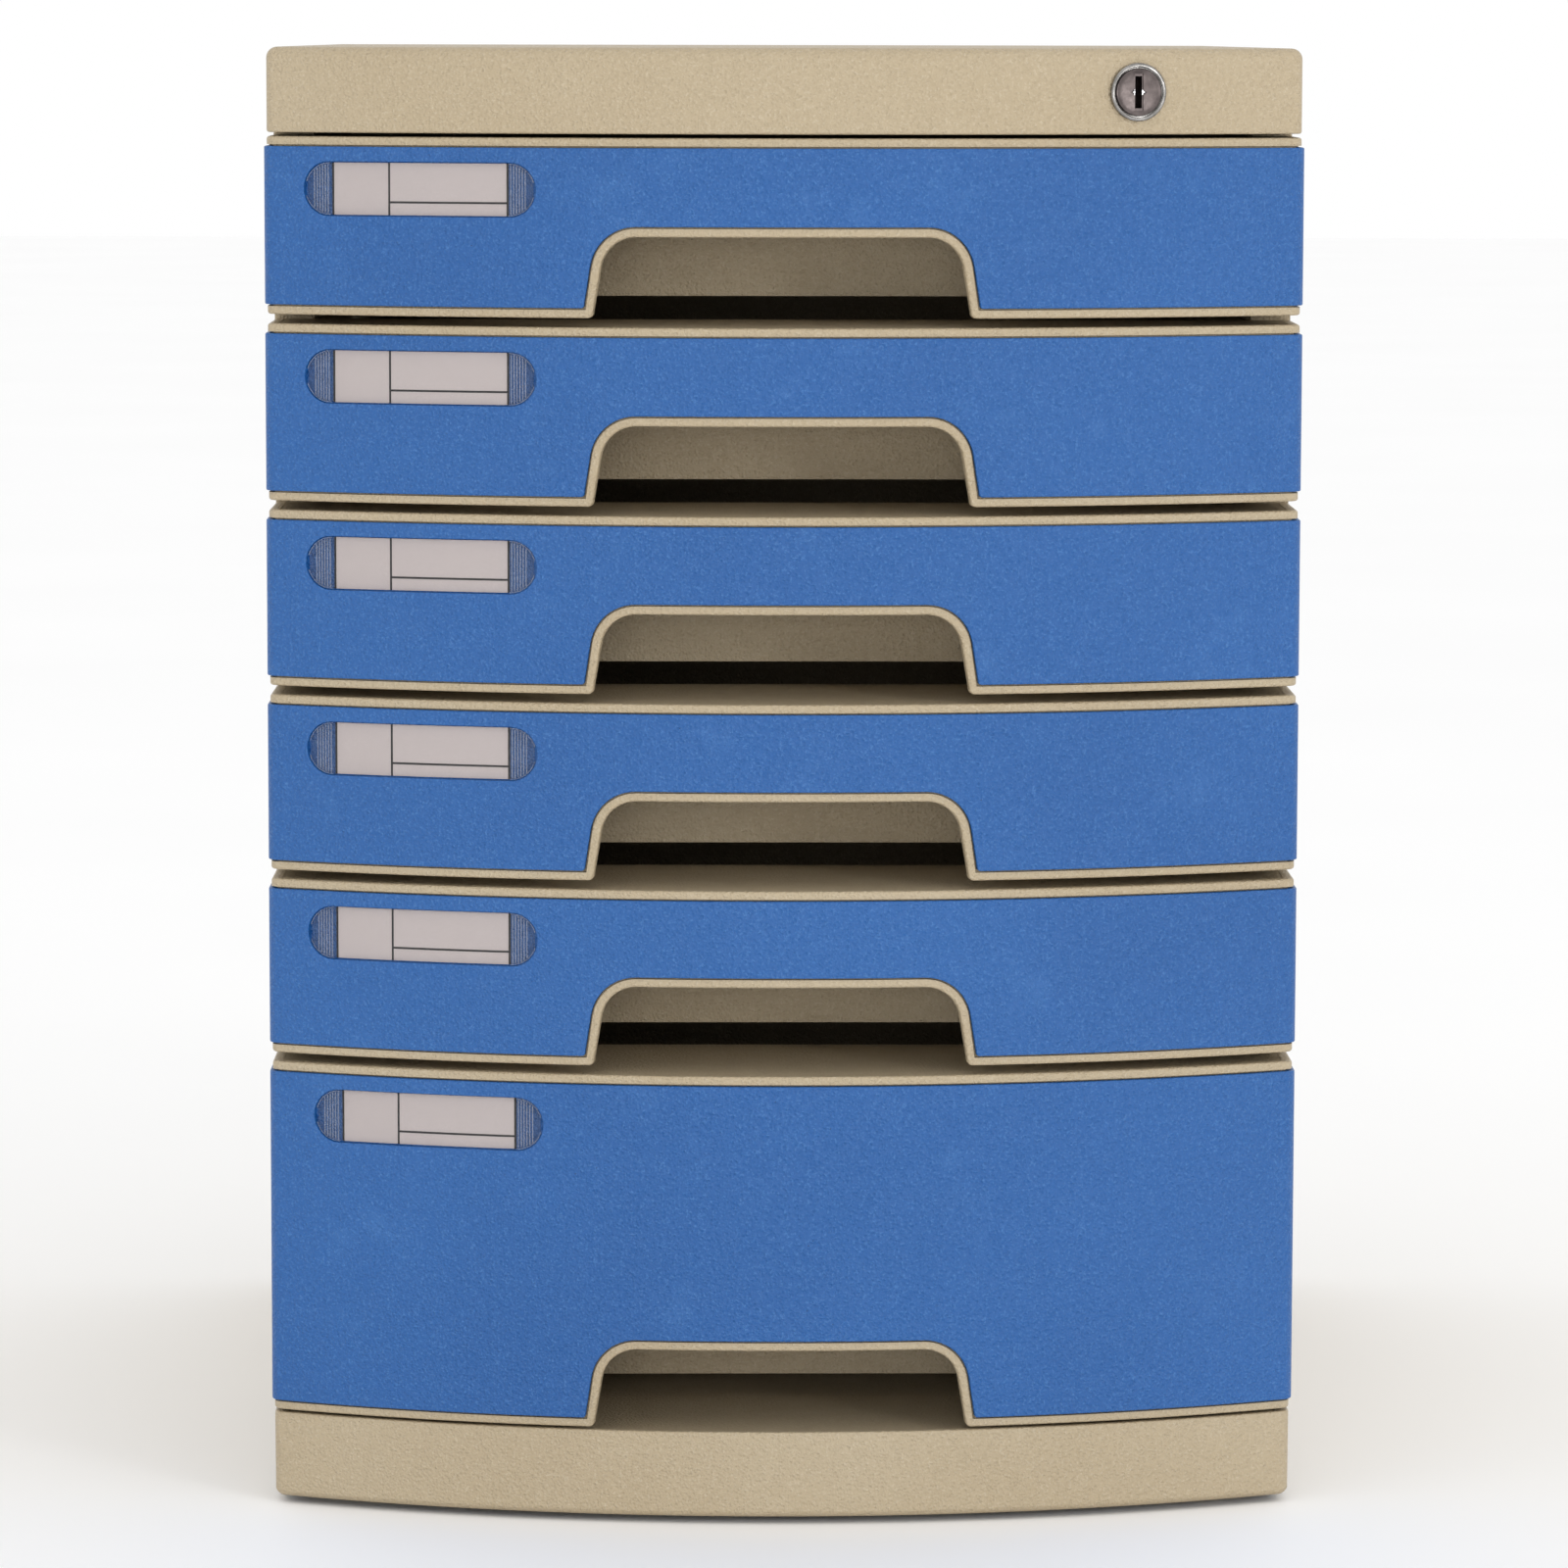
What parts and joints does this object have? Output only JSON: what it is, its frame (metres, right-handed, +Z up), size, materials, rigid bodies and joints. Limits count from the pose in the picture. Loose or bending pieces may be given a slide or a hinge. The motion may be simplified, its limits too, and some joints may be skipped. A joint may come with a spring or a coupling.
{
  "type": "desktop drawer file cabinet",
  "caption": "Bow-fronted desktop file cabinet in cream plastic with shallow drawers over a deep drawer, blue fronts, label windows, finger cut-outs and a central lock.",
  "frame": {"origin": "centre of the footprint on the surface the cabinet stands on", "axes": "+X to the right seen from the front, +Y towards the back panel, +Z up; the drawers open along -Y"},
  "size_m": [0.3016, 0.39, 0.4284],
  "materials": {
    "cream_plastic": "moulded cream plastic with a fine spark texture",
    "blue_plastic": "moulded mid-blue plastic with a fine spark texture",
    "clear_plastic": "clear moulded plastic, ribbed at both ends",
    "label_paper": "off-white card with thin ruled lines and no writing",
    "nickel_plate": "nickel plate, slightly dulled",
    "zinc_steel": "zinc-plated steel",
    "foot_rubber": "black rubber"
  },
  "bodies": {
    "cabinet": {"top_cap": "cream_plastic", "base_plinth": "cream_plastic", "side_panel_left": "cream_plastic", "side_panel_right": "cream_plastic", "back_panel": "cream_plastic", "foot_1": "foot_rubber", "foot_2": "foot_rubber", "foot_3": "foot_rubber", "foot_4": "foot_rubber", "back_screw_1": "zinc_steel", "back_screw_2": "zinc_steel", "back_screw_3": "zinc_steel", "back_screw_4": "zinc_steel", "back_screw_5": "zinc_steel", "back_screw_6": "zinc_steel", "bar_guide_1": "zinc_steel", "bar_guide_2": "zinc_steel", "lock_barrel": "nickel_plate", "lock_nut": "zinc_steel"},
    "drawer_1": {"drawer_1_tray": "cream_plastic", "drawer_1_front_panel": "blue_plastic", "drawer_1_label_card": "label_paper", "drawer_1_label_window": "clear_plastic"},
    "drawer_2": {"drawer_2_tray": "cream_plastic", "drawer_2_front_panel": "blue_plastic", "drawer_2_label_card": "label_paper", "drawer_2_label_window": "clear_plastic"},
    "drawer_3": {"drawer_3_tray": "cream_plastic", "drawer_3_front_panel": "blue_plastic", "drawer_3_label_card": "label_paper", "drawer_3_label_window": "clear_plastic"},
    "drawer_4": {"drawer_4_tray": "cream_plastic", "drawer_4_front_panel": "blue_plastic", "drawer_4_label_card": "label_paper", "drawer_4_label_window": "clear_plastic"},
    "drawer_5": {"drawer_5_tray": "cream_plastic", "drawer_5_front_panel": "blue_plastic", "drawer_5_label_card": "label_paper", "drawer_5_label_window": "clear_plastic"},
    "drawer_6": {"drawer_6_tray": "cream_plastic", "drawer_6_front_panel": "blue_plastic", "drawer_6_label_card": "label_paper", "drawer_6_label_window": "clear_plastic"},
    "lock_rotor": {"lock_plug": "nickel_plate", "lock_cam": "zinc_steel", "cam_screw": "zinc_steel"},
    "lock_bar": {"lock_bar": "zinc_steel"}
  },
  "joints": [
    {"name": "drawer_1_slide", "type": "slide", "parent": "cabinet", "child": "drawer_1", "axis": [0, -1, 0], "range_m": [0, 0.233]},
    {"name": "drawer_2_slide", "type": "slide", "parent": "cabinet", "child": "drawer_2", "axis": [0, -1, 0], "range_m": [0, 0.233]},
    {"name": "drawer_3_slide", "type": "slide", "parent": "cabinet", "child": "drawer_3", "axis": [0, -1, 0], "range_m": [0, 0.233]},
    {"name": "drawer_4_slide", "type": "slide", "parent": "cabinet", "child": "drawer_4", "axis": [0, -1, 0], "range_m": [0, 0.233]},
    {"name": "drawer_5_slide", "type": "slide", "parent": "cabinet", "child": "drawer_5", "axis": [0, -1, 0], "range_m": [0, 0.233]},
    {"name": "drawer_6_slide", "type": "slide", "parent": "cabinet", "child": "drawer_6", "axis": [0, -1, 0], "range_m": [0, 0.233]},
    {"name": "lock_turn", "type": "hinge", "parent": "cabinet", "child": "lock_rotor", "pos_m": [0.101, -0.18068, 0.4159], "axis": [-0.263, 0.9648, 0], "range_deg": [0, 90]},
    {"name": "lock_bar_slide", "type": "slide", "parent": "cabinet", "child": "lock_bar", "axis": [0, 0, -1], "range_m": [0, 0.00778]}
  ],
  "couplings": [
    {"joint": "lock_turn", "follows": "lock_bar_slide", "rad_per_m": 201.95}
  ]
}
